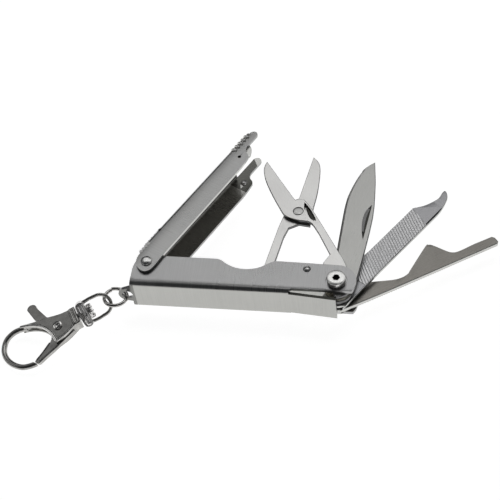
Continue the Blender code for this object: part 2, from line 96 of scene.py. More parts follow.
# heights of the flat faces above the ground, and other sizes that several pieces share, in millimetres
BODY_LOW, BODY_HIGH = 1.9, 13.9
COVER_LOW, COVER_HIGH, COVER_SHEET = 0.8, 15.0, 0.9
COVER_BEND, COVER_BEND_RADIUS = (3.8, 13.5), 1.5     # its centre in the (y, z) plane of the cover
KNIFE_LOW, KNIFE_HIGH = 8.5, 9.8
FILE_LOW, FILE_HIGH = 6.3, 7.7
BORE = 2.25


# ---------------------------------------------------------------- camera and light
def make_camera():
    """At the photograph's angle: azimuth, elevation and roll in degrees, distances in metres."""
    azimuth, elevation, roll = [math.radians(v) for v in (15.44, 51.24, 9.53)]
    target = Vector((-0.030, 0.005, 0.007))
    shift_right, shift_up, distance = 0.00318, 0.0080, 0.43725
    right = Vector((math.cos(azimuth), math.sin(azimuth), 0))
    back = Vector((math.sin(azimuth) * math.cos(elevation), -math.cos(azimuth) * math.cos(elevation),
                   math.sin(elevation)))
    up = back.cross(right)
    data = bpy.data.cameras.new("camera")
    data.sensor_width = 36.0
    data.lens = 100.1
    data.clip_start, data.clip_end = 0.01, 20.0
    camera = bpy.data.objects.new("camera", data)
    bpy.context.collection.objects.link(camera)
    x_axis = math.cos(roll) * right - math.sin(roll) * up
    y_axis = math.sin(roll) * right + math.cos(roll) * up
    camera.matrix_world = Matrix((x_axis, y_axis, back)).transposed().to_4x4()
    camera.matrix_world.translation = target + shift_right * right + shift_up * up + distance * back
    bpy.context.scene.camera = camera


LIGHT_AIM, LIGHT_DISTANCE = (-0.03, 0.005, 0.0), 0.9
LIGHTS = {
    # direction from the object, width and height in metres, power in watts
    "softbox_back": ((0.01, 0.61, 0.75), (0.86, 0.42), 1.13),
    "strip_high": ((0.08, 0.43, 0.90), (0.66, 0.05), 0.25),
    "softbox_clasp": ((-0.56, 0.39, 0.73), (0.34, 0.34), 0.12),
    "softbox_left": ((-1.0, -0.15, 0.45), (0.35, 0.45), 0.35),
    "softbox_right": ((1.0, 0.1, 0.45), (0.35, 0.45), 0.35),
    "softbox_front": ((0.40, -0.81, 0.42), (0.35, 0.30), 0.16),
}


def area_light(name, direction, size, power):
    """A rectangular light that faces the object."""
    data = bpy.data.lights.new(name, "AREA")
    data.shape = "RECTANGLE"
    data.size, data.size_y = size
    data.energy = power
    lamp = bpy.data.objects.new(name, data)
    bpy.context.collection.objects.link(lamp)
    toward = Vector(direction).normalized()
    lamp.location = Vector(LIGHT_AIM) + toward * LIGHT_DISTANCE
    lamp.rotation_euler = toward.to_track_quat("Z", "Y").to_euler()


def make_studio():
    """A white floor, a large softbox behind the object, smaller ones around it, and a dim room in front."""
    world = bpy.data.worlds.new("studio")
    world.use_nodes = True
    bpy.context.scene.world = world
    back = world.node_tree.nodes["Background"]
    back.inputs["Color"].default_value = (0.80, 0.82, 0.85, 1)
    back.inputs["Strength"].default_value = 0.05
    for name, settings in LIGHTS.items():
        area_light(name, *settings)

    floor_mesh = bpy.data.meshes.new("floor")
    half = 3.0
    floor_mesh.from_pydata([(-half, -half, 0), (half, -half, 0), (half, half, 0), (-half, half, 0)], [],
                           [(0, 1, 2, 3)])
    floor = bpy.data.objects.new("floor", floor_mesh)
    bpy.context.collection.objects.link(floor)
    paper = bpy.data.materials.new("paper")
    paper.use_nodes = True
    shader = paper.node_tree.nodes["Principled BSDF"]
    shader.inputs["Base Color"].default_value = (0.5, 0.5, 0.5, 1)
    shader.inputs["Roughness"].default_value = 0.9
    shader.inputs["Specular IOR Level"].default_value = 0.1
    shader.inputs["Emission Color"].default_value = (1, 1, 1, 1)
    shader.inputs["Emission Strength"].default_value = 0.92
    floor_mesh.materials.append(paper)
    bpy.context.scene.view_settings.view_transform = "Standard"


# ---------------------------------------------------------------- materials
GRAIN_SIZE, BUMP_HEIGHT = 0.35, 0.02


def metal(name, place, colour, rough, lines, line_tone=0.12, line_rough=0.08, line_bump=0.2, cloud_tone=0.06,
          cloud_size=9.0):
    """Metal with fine lines, broad clouding and a fine grain.

    lines is how many lines there are per metre along each axis of the piece's own frame.
    """
    made = bpy.data.materials.new(name)
    made.use_nodes = True
    nodes, links = made.node_tree.nodes, made.node_tree.links
    shader = nodes["Principled BSDF"]
    shader.inputs["Metallic"].default_value = 1.0
    where = nodes.new("ShaderNodeTexCoord")
    turn = place.to_euler()

    def noise_at(scale, detail, roughness):
        """Noise with scale features per metre along each axis of the piece's own frame."""
        stretch = nodes.new("ShaderNodeMapping")
        stretch.vector_type = "TEXTURE"
        stretch.inputs["Rotation"].default_value = turn
        stretch.inputs["Scale"].default_value = [1 / v for v in scale]
        links.new(where.outputs["Object"], stretch.inputs["Vector"])
        texture = nodes.new("ShaderNodeTexNoise")
        texture.inputs["Scale"].default_value = 1.0
        texture.inputs["Detail"].default_value = detail
        texture.inputs["Roughness"].default_value = roughness
        links.new(stretch.outputs["Vector"], texture.inputs["Vector"])
        return texture.outputs["Fac"]

    def spread(source, low, high):
        """The middle half of a noise, stretched to run from low to high."""
        step = nodes.new("ShaderNodeMapRange")
        step.inputs["From Min"].default_value = 0.25
        step.inputs["From Max"].default_value = 0.75
        step.inputs["To Min"].default_value = low
        step.inputs["To Max"].default_value = high
        links.new(source, step.inputs["Value"])
        return step.outputs["Result"]

    def maths(operation, a, b):
        """One Math node on two values."""
        step = nodes.new("ShaderNodeMath")
        step.operation = operation
        links.new(a, step.inputs[0])
        links.new(b, step.inputs[1])
        return step.outputs["Value"]

    fine = noise_at(lines, 3.0, 0.6)
    cloud = noise_at([1 / (cloud_size * MM)] * 3, 3.0, 0.5)
    grain = noise_at([1 / (GRAIN_SIZE * MM)] * 3, 2.0, 0.5)
    line_shade = spread(fine, 1 - line_tone, 1 + line_tone)
    cloud_shade = spread(cloud, 1 - cloud_tone, 1 + cloud_tone)
    tone = maths("MULTIPLY", line_shade, cloud_shade)
    tint = nodes.new("ShaderNodeVectorMath")
    tint.operation = "SCALE"
    tint.inputs[0].default_value = colour
    links.new(tone, tint.inputs["Scale"])
    links.new(tint.outputs["Vector"], shader.inputs["Base Color"])
    line_gloss = spread(fine, rough - line_rough, rough + line_rough)
    roughness = maths("ADD", line_gloss, spread(cloud, -0.04, 0.04))
    links.new(roughness, shader.inputs["Roughness"])
    height = maths("ADD", fine, spread(grain, 0.0, 0.25))
    bump = nodes.new("ShaderNodeBump")
    bump.inputs["Strength"].default_value = line_bump
    bump.inputs["Distance"].default_value = BUMP_HEIGHT * MM
    links.new(height, bump.inputs["Height"])
    links.new(bump.outputs["Normal"], shader.inputs["Normal"])
    return made


ACROSS, ALONG, EVEN = (5200, 60, 60), (300, 5000, 5000), (2500, 2500, 2500)
FINISH = {
    # colour, roughness, lines per metre, their tone, roughness and bump, the clouding's tone and size in mm
    "body": ((0.375, 0.375, 0.375), 0.31, ACROSS, 0.12, 0.05, 0.12, 0.14, 24.0),
    "strip": ((0.455, 0.455, 0.435), 0.33, ACROSS, 0.07, 0.05, 0.12, 0.04),
    # the eye tab painted darker: painted shade
    "tab": ((0.23, 0.23, 0.22), 0.30, ACROSS, 0.12, 0.05, 0.12, 0.04),
    "cover": ((0.37, 0.37, 0.365), 0.31, ACROSS, 0.12, 0.05, 0.12, 0.14, 20.0),
    # the cover's inner faces painted darker: painted shade
    "inside": ((0.31, 0.305, 0.29), 0.30, (3000, 200, 200), 0.12, 0.06, 0.15, 0.10),
    "within": ((0.50, 0.50, 0.48), 0.34, (600, 200, 200), 0.05, 0.03, 0.02, 0.05),
    # a light colour for rounded edges and sides; on the cover it is also painted highlight and painted
    # reflection
    "edge": ((0.56, 0.56, 0.54), 0.28, EVEN, 0.08, 0.06, 0.1, 0.05),
    # dark rounded edges: painted shade, standing in for edges that reflect the dim room
    "painted_dark_edge": ((0.14, 0.14, 0.14), 0.30, EVEN, 0.12, 0.06, 0.1, 0.08),
    "blade": ((0.445, 0.445, 0.43), 0.33, ALONG, 0.10, 0.06, 0.15, 0.05),
    "file_edge": ((0.46, 0.46, 0.46), 0.32, EVEN, 0.08, 0.06, 0.1, 0.05),
    "file": ((0.36, 0.36, 0.37), 0.33, EVEN, 0.12, 0.06, 0.2, 0.08),
    "teeth": ((0.56, 0.56, 0.565), 0.30, EVEN, 0.10, 0.06, 0.1, 0.06),
    # the file's grooves painted darker than the crests: painted shade
    "groove": ((0.30, 0.30, 0.305), 0.34, EVEN, 0.12, 0.06, 0.1, 0.08),
    "opener_edge": ((0.40, 0.395, 0.37), 0.32, EVEN, 0.08, 0.06, 0.1, 0.05),
    "opener": ((0.24, 0.23, 0.212), 0.34, (300, 4200, 4200), 0.16, 0.06, 0.20, 0.16),
    "scissors": ((0.74, 0.735, 0.72), 0.36, (700, 3500, 3500), 0.05, 0.05, 0.2, 0.04),
    "screw": ((0.78, 0.78, 0.76), 0.30, EVEN, 0.05, 0.04, 0.05, 0.04),
    "rivet": ((0.50, 0.50, 0.49), 0.34, EVEN, 0.06, 0.04, 0.05, 0.04),
    "pin": ((0.66, 0.66, 0.65), 0.28, EVEN, 0.06, 0.04, 0.05, 0.04),
    # near black in holes, sockets, slots and recesses: painted shade
    "painted_shade": ((0.05, 0.05, 0.045), 0.35, EVEN, 0.2, 0.08, 0.2, 0.2),
    # the nail nick's walls painted dark: painted shade
    "nick": ((0.15, 0.15, 0.15), 0.28, ALONG, 0.1, 0.06, 0.1, 0.1),
    "spring": ((0.30, 0.30, 0.30), 0.28, (400, 4000, 4000), 0.10, 0.05, 0.2, 0.06),
    "brass": ((0.72, 0.68, 0.60), 0.30, EVEN, 0.08, 0.06, 0.10, 0.08),
    "shade": ((0.13, 0.13, 0.12), 0.30, (3000, 200, 200), 0.12, 0.06, 0.15, 0.10),
    "nickel": ((0.50, 0.49, 0.475), 0.16, (900, 900, 900), 0.06, 0.03, 0.10, 0.08),
    "cast": ((0.40, 0.395, 0.38), 0.22, (1600, 1600, 1600), 0.18, 0.07, 0.30, 0.32, 2.6),
    # bright; on the claw's raised rims it is a painted highlight
    "rim": ((0.86, 0.85, 0.83), 0.20, (1600, 1600, 1600), 0.08, 0.05, 0.20, 0.12, 2.6),
    "knurl": ((0.66, 0.65, 0.64), 0.27, (1300, 1300, 1300), 0.30, 0.08, 0.60, 0.25, 1.6),
}
MADE = {}


def finish(kind, place):
    """The finish for a piece in a frame; pieces in the same frame share it."""
    turns = "_".join("%d" % round(math.degrees(a)) for a in place.to_euler())
    key = kind + "_" + turns.replace("-", "m")
    if key not in MADE:
        MADE[key] = metal(key, place, *FINISH[kind])
    return MADE[key]


# ---------------------------------------------------------------- meshes
def show(name, bm, place, body, finishes, nodes=(), sharp=32.0, even=True):
    """Makes the shown piece from a bmesh that is in millimetres in the frame given by place."""
    mesh = bpy.data.meshes.new(name)
    bmesh.ops.recalc_face_normals(bm, faces=bm.faces)
    bmesh.ops.transform(bm, matrix=place @ Matrix.Scale(MM, 4), verts=bm.verts)
    bm.to_mesh(mesh)
    bm.free()
    mesh.shade_smooth()
    mesh.set_sharp_from_angle(angle=math.radians(sharp))
    piece = bpy.data.objects.new(name, mesh)
    bpy.context.collection.objects.link(piece)
    for kind in finishes:
        mesh.materials.append(finish(kind, place))
    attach(piece, body)
    if nodes:
        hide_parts(*nodes)
    if even:
        weights = piece.modifiers.new("even_shading", "WEIGHTED_NORMAL")
        weights.keep_sharp = True
    return piece


def from_node(node, place, flat=True):
    """A CAD node's mesh in the piece's own frame, with its flat faces joined."""
    bm = bmesh.new()
    bm.from_mesh(frame["nodes"][node].data)
    bmesh.ops.remove_doubles(bm, verts=bm.verts, dist=0.002 * MM)
    bmesh.ops.transform(bm, matrix=Matrix.Scale(1 / MM, 4) @ place.inverted(), verts=bm.verts)
    if flat:
        bmesh.ops.dissolve_limit(bm, angle_limit=math.radians(1.0), verts=bm.verts, edges=bm.edges)
    return bm


def soften(bm, width, angle=30.0, segments=2, index=1):
    """Rounds the sharp edges of a mesh over a width in millimetres, and gives the rounding a finish."""
    edges = [e for e in bm.edges if len(e.link_faces) == 2 and e.calc_face_angle() > math.radians(angle)]
    bmesh.ops.bevel(bm, geom=edges, offset=width, offset_type="OFFSET", segments=segments, profile=0.6,
                    affect="EDGES", clamp_overlap=True, material=index)
    return bm


def paint(bm, rule):
    """Gives each face the finish that rule(centre, normal) numbers, where it gives one."""
    bm.normal_update()
    for face in bm.faces:
        index = rule(face.calc_center_median(), face.normal)
        if index is not None:
            face.material_index = index


def circle(centre, radius, start=0.0, end=360.0, steps=24):
    """Points on a circle, in degrees; the last is left out of a whole turn."""
    count = steps if abs(end - start) >= 360 else steps + 1
    angles = [math.radians(start + (end - start) * i / steps) for i in range(count)]
    return [(centre[0] + radius * math.cos(a), centre[1] + radius * math.sin(a)) for a in angles]


def between(p, t):
    """The point at t on the rounded line from p[1] to p[2]."""
    return 0.5 * (2 * p[1] + (p[2] - p[0]) * t + (2 * p[0] - 5 * p[1] + 4 * p[2] - p[3]) * t ** 2
                  + (3 * p[1] - p[0] - 3 * p[2] + p[3]) * t ** 3)


def spline(points, steps=5):
    """A rounded line through points of any dimension."""
    ends = [points[0]] + list(points) + [points[-1]]
    line = []
    for i in range(1, len(ends) - 2):
        p = [Vector(q) for q in ends[i - 1:i + 3]]
        line += [between(p, k / steps) for k in range(steps)]
    return line + [Vector(points[-1])]


def lifted(path, height):
    """Points of the plane at a height."""
    return [(p[0], p[1], height) for p in path]


def rims(bm, height):
    """The closed edge loops of the flat faces at a height, the largest first."""
    level = [f for f in bm.faces if all(abs(v.co.z - height) < 0.01 for v in f.verts)]
    inside = set(level)
    border = [e for f in level for e in f.edges if sum(g in inside for g in e.link_faces) == 1]
    follow = {}
    for e in border:
        for v in e.verts:
            follow.setdefault(v, []).append(e)
    loops, left = [], set(border)
    while left:
        edge = min(left, key=lambda e: (round(e.verts[0].co.x, 5), round(e.verts[0].co.y, 5), e.index))
        start = vertex = edge.verts[0]
        loop = []
        while True:
            left.discard(edge)
            loop.append(Vector((vertex.co.x, vertex.co.y)))
            vertex = edge.other_vert(vertex)
            if vertex == start:
                break
            edge = next(e for e in follow[vertex] if e in left)
        loops.append(loop)
    return sorted(loops, key=lambda loop: -abs(area_of(loop)))


def area_of(loop):
    """The area inside a closed line, negative when it runs clockwise."""
    return sum(a.x * b.y - b.x * a.y for a, b in zip(loop, loop[1:] + loop[:1])) / 2


def round_share(loop):
    """1 for a circle and less for other closed lines."""
    length = sum((b - a).length for a, b in zip(loop, loop[1:] + loop[:1]))
    return 4 * math.pi * abs(area_of(loop)) / length ** 2


def rounded_loop(loop, steps=3, corner=30.0):
    """Adds points on the curves of a closed line, and leaves its corners and straight runs."""
    count = len(loop)

    def bend(i):
        """How far the line turns at a point, in radians."""
        before, after = loop[i] - loop[i - 1], loop[(i + 1) % count] - loop[i]
        if min(before.length, after.length) < 1e-6:
            return 0.0
        return abs(before.angle_signed(after, 0.0))

    bends = [math.degrees(bend(i)) for i in range(count)]
    made = []
    for i in range(count):
        j = (i + 1) % count
        made.append(loop[i])
        both = 1.0 < bends[i] < corner and 1.0 < bends[j] < corner
        if both and (loop[j] - loop[i]).length > 0.25:
            p = [loop[i - 1], loop[i], loop[j], loop[(j + 1) % count]]
            made += [between(p, k / steps) for k in range(1, steps)]
    return made


def inset_loop(loop, widths):
    """A closed line moved to its inner side by a width at each point."""
    side = 1 if area_of(loop) > 0 else -1
    made = []
    for i, point in enumerate(loop):
        before = (point - loop[i - 1]).normalized()
        after = (loop[(i + 1) % len(loop)] - point).normalized()
        normal = Vector((-(before.y + after.y), before.x + after.x))
        if normal.length < 1e-6:
            normal = Vector((-before.y, before.x))
        normal.normalize()
        lean = max(0.45, normal.dot(Vector((-before.y, before.x))))
        made.append(point + normal * side * widths[i] / lean)
    return made


def plate(loops, low, high, edge, grind=None, rings=3):
    """A flat piece with rounded edges.  grind(point) gives (width, drop) of a ground edge, or None.

    The first loop is the outline and the rest are holes, whose rims run in under the heads on them.
    """
    bm = bmesh.new()
    top_edges, bottom_edges = [], []
    for number, loop in enumerate(loops):
        if (area_of(loop) > 0) != (number == 0):
            loop = loop[::-1]
        ground = [(grind(p) if grind and not number else None) for p in loop]
        levels = []
        for k in range(rings + 1):
            turn = math.pi / 2 * k / rings
            widths = [(c[0] * (1 - k / rings) if c else edge * (1 - math.sin(turn))) for c in ground]
            drops = [(c[1] * k / rings if c else edge * (1 - math.cos(turn))) for c in ground]
            levels.append((inset_loop(loop, widths), drops))
        ladder = [[bm.verts.new((p.x, p.y, high - d)) for p, d in zip(*level)] for level in levels]
        ladder += [[bm.verts.new((p.x, p.y, low + d)) for p, d in zip(*level)] for level in levels[::-1]]
        count = len(loop)
        for step, (above, below) in enumerate(zip(ladder, ladder[1:])):
            for i in range(count):
                j = (i + 1) % count
                face = bm.faces.new((above[i], below[i], below[j], above[j]))
                on_flat = (ground[i] or ground[j]) and step not in (rings - 1, rings, rings + 1)
                face.material_index = 0 if on_flat else 1
        top_edges += [bm.edges.get((ladder[0][i], ladder[0][(i + 1) % count])) for i in range(count)]
        bottom_edges += [bm.edges.get((ladder[-1][i], ladder[-1][(i + 1) % count])) for i in range(count)]
    for border in (top_edges, bottom_edges):
        bmesh.ops.triangle_fill(bm, use_beauty=True, use_dissolve=False, edges=border)
    return bm


def blade(node, place, edge, holes=None):
    """A flat CAD node remade as a plate with smooth outlines, with all its holes or only the roundest."""
    source = from_node(node, place)
    heights = [v.co.z for v in source.verts]
    low, high = min(heights), max(heights)
    loops = [rounded_loop(loop) for loop in rims(source, high)]
    source.free()
    if holes is not None:
        loops = loops[:1] + sorted(loops[1:], key=lambda loop: -round_share(loop))[:holes]
    return plate(loops, low, high, edge)


def level_ring(radius, height, steps):
    """Points of a level ring round the Z axis, or the one point on it."""
    return lifted(circle((0, 0), radius, steps=steps), height) if radius else [(0, 0, height)]


def skin(rings, steps, place=None):
    """A surface through rings of points; a ring of one point closes it."""
    bm = bmesh.new()
    rows = [[bm.verts.new(p) for p in ring] for ring in rings]
    for below, above in zip(rows, rows[1:]):
        for i in range(steps):
            j = (i + 1) % steps
            corners = [below[i % len(below)], below[j % len(below)]]
            corners += [above[j % len(above)], above[i % len(above)]]
            bm.faces.new(list(dict.fromkeys(corners)))
    if place:
        bmesh.ops.transform(bm, matrix=place, verts=bm.verts)
    return bm


def lathe(profile, steps=48, place=None):
    """A turned solid from (radius, height) pairs; a radius of 0 closes it."""
    return skin([level_ring(radius, height, steps) for radius, height in profile], steps, place)


def loft(rings):
    """A solid through closed rings of equally many points, with flat ends."""
    count = len(rings[0])
    bm = skin(rings, count)
    verts = list(bm.verts)
    bm.faces.new(verts[:count])
    bm.faces.new(verts[-count:])
    return bm


def tube(path, radius, steps=14):
    """A round bar along points; radius may be one number or one for each point."""
    path = [Vector(p) for p in path]
    last = len(path) - 1
    radii = radius if isinstance(radius, (list, tuple)) else [radius] * len(path)
    turns = [2 * math.pi * k / steps for k in range(steps)]
    rings = []
    normal = None
    for i, point in enumerate(path):
        tangent = (path[min(i + 1, last)] - path[max(i - 1, 0)]).normalized()
        if normal is None:
            normal = tangent.cross(Vector((0, 0, 1)))
            normal = normal if normal.length > 0.01 else tangent.cross(Vector((0, 1, 0)))
        normal = (normal - tangent * normal.dot(tangent)).normalized()
        across = tangent.cross(normal)
        reach = radii[i]
        rings.append([point + normal * reach * math.cos(a) + across * reach * math.sin(a) for a in turns])
    return loft(rings)


def split_at(bm, point, normal):
    """New edges where a plane crosses the mesh."""
    bmesh.ops.bisect_plane(bm, geom=[*bm.verts, *bm.edges, *bm.faces], dist=0.0001, plane_co=point,
                           plane_no=normal)


def joined(parts):
    """Several bmeshes in one; the parts are used up."""
    whole = bmesh.new()
    for part in parts:
        bmesh.ops.recalc_face_normals(part, faces=part.faces)
        mesh = bpy.data.meshes.new("part")
        part.to_mesh(mesh)
        part.free()
        whole.from_mesh(mesh)
        bpy.data.meshes.remove(mesh)
    return whole


def worked(bm, steps):
    """The bmesh after modifiers: (type, {setting: value}) for each, cutters given as bmeshes."""
    mesh = bpy.data.meshes.new("work")
    bmesh.ops.recalc_face_normals(bm, faces=bm.faces)
    bm.to_mesh(mesh)
    bm.free()
    piece = bpy.data.objects.new("work", mesh)
    bpy.context.collection.objects.link(piece)
    tools = []
    for kind, settings in steps:
        step = piece.modifiers.new(kind.lower(), kind)
        for key, value in settings.items():
            if isinstance(value, bmesh.types.BMesh):
                tool_mesh = bpy.data.meshes.new("tool")
                bmesh.ops.recalc_face_normals(value, faces=value.faces)
                value.to_mesh(tool_mesh)
                value.free()
                value = bpy.data.objects.new("tool", tool_mesh)
                bpy.context.collection.objects.link(value)
                tools.append(value)
            setattr(step, key, value)
    bpy.context.view_layer.update()
    depsgraph = bpy.context.evaluated_depsgraph_get()
    result = bpy.data.meshes.new_from_object(piece.evaluated_get(depsgraph))
    for spent in [piece] + tools:
        bpy.data.objects.remove(spent)
    made = bmesh.new()
    made.from_mesh(result)
    bpy.data.meshes.remove(result)
    return made


def cut(bm, tool):
    """The solid without what the tool covers."""
    return worked(bm, [("BOOLEAN", {"operation": "DIFFERENCE", "solver": "EXACT", "object": tool})])


def cast(parts, voxel=0.16, rounds=6):
    """Joins solids into one casting with soft edges."""
    remesh = {"mode": "VOXEL", "voxel_size": voxel, "use_smooth_shade": True}
    return worked(joined(parts), [("REMESH", remesh), ("SMOOTH", {"factor": 0.5, "iterations": rounds})])


# ---------------------------------------------------------------- body and cover
TAB_END = -63.2
BODY_FOLD_START, BODY_FOLD_END = -2.3, -3.54


def body_faces(centre, normal):
    """2 on the channel's inner faces, 3 outside its spine, 4 on the eye tab, painted darker as painted shade,
    and 5 on the slot's edge, painted black as painted shade.
    """
    if centre.y < -4.8 and normal.y < -0.6:
        return 4 if centre.x < TAB_END else 3
    if centre.x > -14.2 and centre.y < -4.0 and normal.z > 0.4 and 10.5 < centre.z < 13.6:
        return 5
    under_top = 12 < centre.z < 13.2 and normal.z < -0.7
    over_bottom = 2.6 < centre.z < 4 and normal.z > 0.7
    on_spine = -5 < centre.y < -3 and normal.y > 0.7 and centre.x < 4 and 2.6 < centre.z < 13.2
    return 2 if under_top or over_bottom or on_spine else None


def ease_wall(bm, top, start, end, drop):
    """Lets the near wall fall away a little towards the bend, where the fold has drawn it down."""
    cuts, depth_reached = 7, 1.5
    for k in range(cuts):
        split_at(bm, (0, start + (end - start) * k / (cuts - 1), 0), (0, 1, 0))
    for v in bm.verts:
        share = min(1.0, max(0.0, (v.co.y - start) / (end - start)))
        depth = min(1.0, max(0.0, (v.co.z - (top - depth_reached)) / depth_reached))
        v.co.z -= drop * share * share * depth


def make_body():
    """The folded channel, and the dimple pressed into each of its walls."""
    bm = from_node("body_channel", BODY)
    ease_wall(bm, BODY_HIGH, BODY_FOLD_START, BODY_FOLD_END, 0.10)
    split_at(bm, (TAB_END, 0, 0), (1, 0, 0))
    soften(bm, 0.16)
    paint(bm, body_faces)
    finishes = ("body", "painted_dark_edge", "within", "strip", "tab", "painted_shade")
    show("body_shell", bm, BODY, "body", finishes, ["body_channel"])
    dome = [(0, -0.3), (1.25, -0.3), (1.25, -0.02), (1.12, 0.06), (0.9, 0.17), (0.6, 0.32), (0.3, 0.4),
            (0, 0.42)]
    # the dimples take the brighter pin colour: a painted highlight on the body's steel
    for name, face, side in (("dimple_upper", BODY_HIGH, 1), ("dimple_lower", BODY_LOW, -1)):
        bump = lathe([(r, face + h * side) for r, h in dome], 32, Matrix.Translation((-9.5, 3.95, 0)))
        show(name, bump, BODY, "body", ("pin",), sharp=80)


# planes that part the finishes inside the cover's lower wall: a point and a normal for each
TIP_PLANE = (58.2, 0, 0), (0.8, -0.6, 0)
SHADE_PLANE = (47.6, 0, 0), (1, 0, 0)
PATCH_PLANE, PATCH_END = ((48.3, 0.4, 0), (0.66, -0.75, 0)), 50.5     # a patch of painted reflection, and its end along X
DETENT = (50.5, 0.7)


def beyond(point, plane):
    """True on the side of a plane that its normal points to."""
    return (point - Vector(plane[0])).dot(Vector(plane[1])) > 0


def cover_faces(centre, normal):
    """2 on the inner faces, painted darker as shade, 3 darker still in deeper shade, 1 for painted reflection
    and highlight.
    """
    low, high = COVER_LOW + COVER_SHEET, COVER_HIGH - COVER_SHEET
    under_top = abs(centre.z - high) < 0.1 and normal.z < -0.7
    over_bottom = abs(centre.z - low) < 0.1 and normal.z > 0.7
    on_spine = low - 0.1 < centre.z < high + 0.1 and 3.5 < centre.y < 4.6 and normal.y < -0.3
    inward = under_top or over_bottom or on_spine
    if inward and normal.z > 0.7 and centre.x > 43:
        painted_reflection = beyond(centre, TIP_PLANE) or (centre.x < PATCH_END and beyond(centre, PATCH_PLANE))
        return 1 if painted_reflection else 3 if beyond(centre, SHADE_PLANE) else 2
    # the near wall's free edge: a painted highlight on its face and painted shade on its rounded top
    if 3 < centre.x < 50 and centre.z > 13.6 and centre.y < -1.5 and normal.y < -0.15:
        return 1 if normal.y < -0.85 else 3
    return 2 if inward else None


def bend_path(x, steps=6):
    """Along the outside of the cover's upper bend at x, from the wall round to the spine."""
    arc = circle(COVER_BEND, COVER_BEND_RADIUS, 90, 0, steps)
    return [(x, y, z) for y, z in [(3.2, COVER_HIGH)] + arc + [(5.3, 13.0)]]


def make_cover_shell():
    """The folded sheet of the cover arm."""
    bm = from_node("cover_arm", COVER)
    ease_wall(bm, COVER_HIGH, 0.6, 3.8, 0.20)
    # the rounded edges take the light edge colour: a painted highlight
    soften(bm, 0.14)
    for plane in (TIP_PLANE, SHADE_PLANE, PATCH_PLANE):
        split_at(bm, *plane)
    paint(bm, cover_faces)
    show("cover_shell", bm, COVER, "cover", ("cover", "edge", "inside", "shade"), ["cover_arm"])


def make_cover_details():
    """The detent hole and bump, the small hole near the hinge and the teeth at its walls; both holes are
    discs painted black, painted shade.
    """
    at_detent = Matrix.Translation((*DETENT, 0))
    profile = [(0, 13.95), (1.3, 13.95), (1.3, 14.05), (0.55, 14.15), (0.5, 14.5), (0, 14.45)]
    spot = lathe(profile, 24, at_detent)
    # the top of the spot is painted black: painted shade for the detent hole
    paint(spot, lambda centre, normal: 1 if centre.z > 14.1 else 0)
    show("cover_spot", spot, COVER, "cover", ("cover", "painted_shade"), sharp=50)
    profile = [(0, 0.95), (0.58, 0.95), (0.58, 1.6), (1.05, 1.72), (0.95, 2.0), (0.6, 2.25), (0, 2.3)]
    show("cover_bump", lathe(profile, 24, at_detent), COVER, "cover", ("pin",), sharp=60)

    lean = math.radians(32)
    y, z = COVER_BEND
    on_bend = Matrix.Translation((12.4, y + 1.5 * math.sin(lean), z + 1.46 * math.cos(lean)))
    # the small hole: a shallow dish painted black, painted shade
    profile = [(0, -0.5), (0.52, -0.5), (0.52, 0.05), (0.46, 0.07), (0.4, 0.0), (0, -0.05)]
    hole = lathe(profile, 24, on_bend @ Matrix.Rotation(-lean, 4, "X"))
    show("cover_hole", hole, COVER, "cover", ("painted_shade",), sharp=50)

    teeth = [tube([(x, 4.02, z - 0.36), (x, 4.02, z + 0.36)], [0.62, 0.58], 16)
             for x in (2.3, 3.5, 4.7, 5.9) for z in (14.55, 1.25)]
    show("cover_thumb_teeth", joined(teeth), COVER, "cover", ("cover",), sharp=50)


def make_cover_grip():
    """The bars bent round the cover's tip, and the strip that they stand on."""
    outside = circle(COVER_BEND, COVER_BEND_RADIUS, 90, 0, 8)
    inside = circle(COVER_BEND, COVER_BEND_RADIUS - COVER_SHEET, 0, 90, 6)
    section = [(3.7, 14.95), (3.8, COVER_HIGH)] + outside + [(5.3, 12.85), (4.4, 12.75)] + inside
    section += [(3.7, 14.1)]
    strip = loft([[(x, y, z) for y, z in section] for x in (51.4, 60.6)])
    ridges = [tube(bend_path(x), 0.42, 12) for x in (52.2, 53.9, 55.6, 57.3, 59.0)]
    # the strip between the bars takes the darker inner colour, painted shade, and the bars the bright screw
    # colour, a painted highlight
    show("cover_grip", strip, COVER, "cover", ("inside",), sharp=40)
    show("cover_ridges", joined(ridges), COVER, "cover", ("screw",), sharp=40)


def make_cover_catch():
    """The lens-shaped lip inside the upper wall, beside the detent hole."""
    lip = [(57.0, 1.7), (56.7, 0.7), (55.8, -0.3), (54.4, -1.2), (53.0, -1.7), (52.2, -1.2), (52.8, 0.2),
           (54.0, 1.4)]
    outline = spline(lip + lip[:1], 4)[:-1]
    show("cover_catch", plate([outline], 13.5, 14.15, 0.12), COVER, "cover", ("edge", "edge"))


def make_cover_pin():
    """The cover's rivet, with a domed head at each end."""
    low, high = [corner.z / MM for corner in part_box("cover_rivet")]
    profile = [(0, low), (1.0, low), (1.5, low + 0.12), (1.75, low + 0.4), (1.75, low + 0.8),
               (1.1, low + 0.8), (1.1, high - 0.8), (1.75, high - 0.8), (1.75, high - 0.42),
               (1.68, high - 0.3), (1.3, high - 0.13), (1.1, high - 0.07), (0.9, high - 0.02), (0.6, high),
               (0, high)]
    place = turned("cover_swing", 0)
    show("cover_pin", lathe(profile), place, "body", ("pin",), ["cover_rivet"])


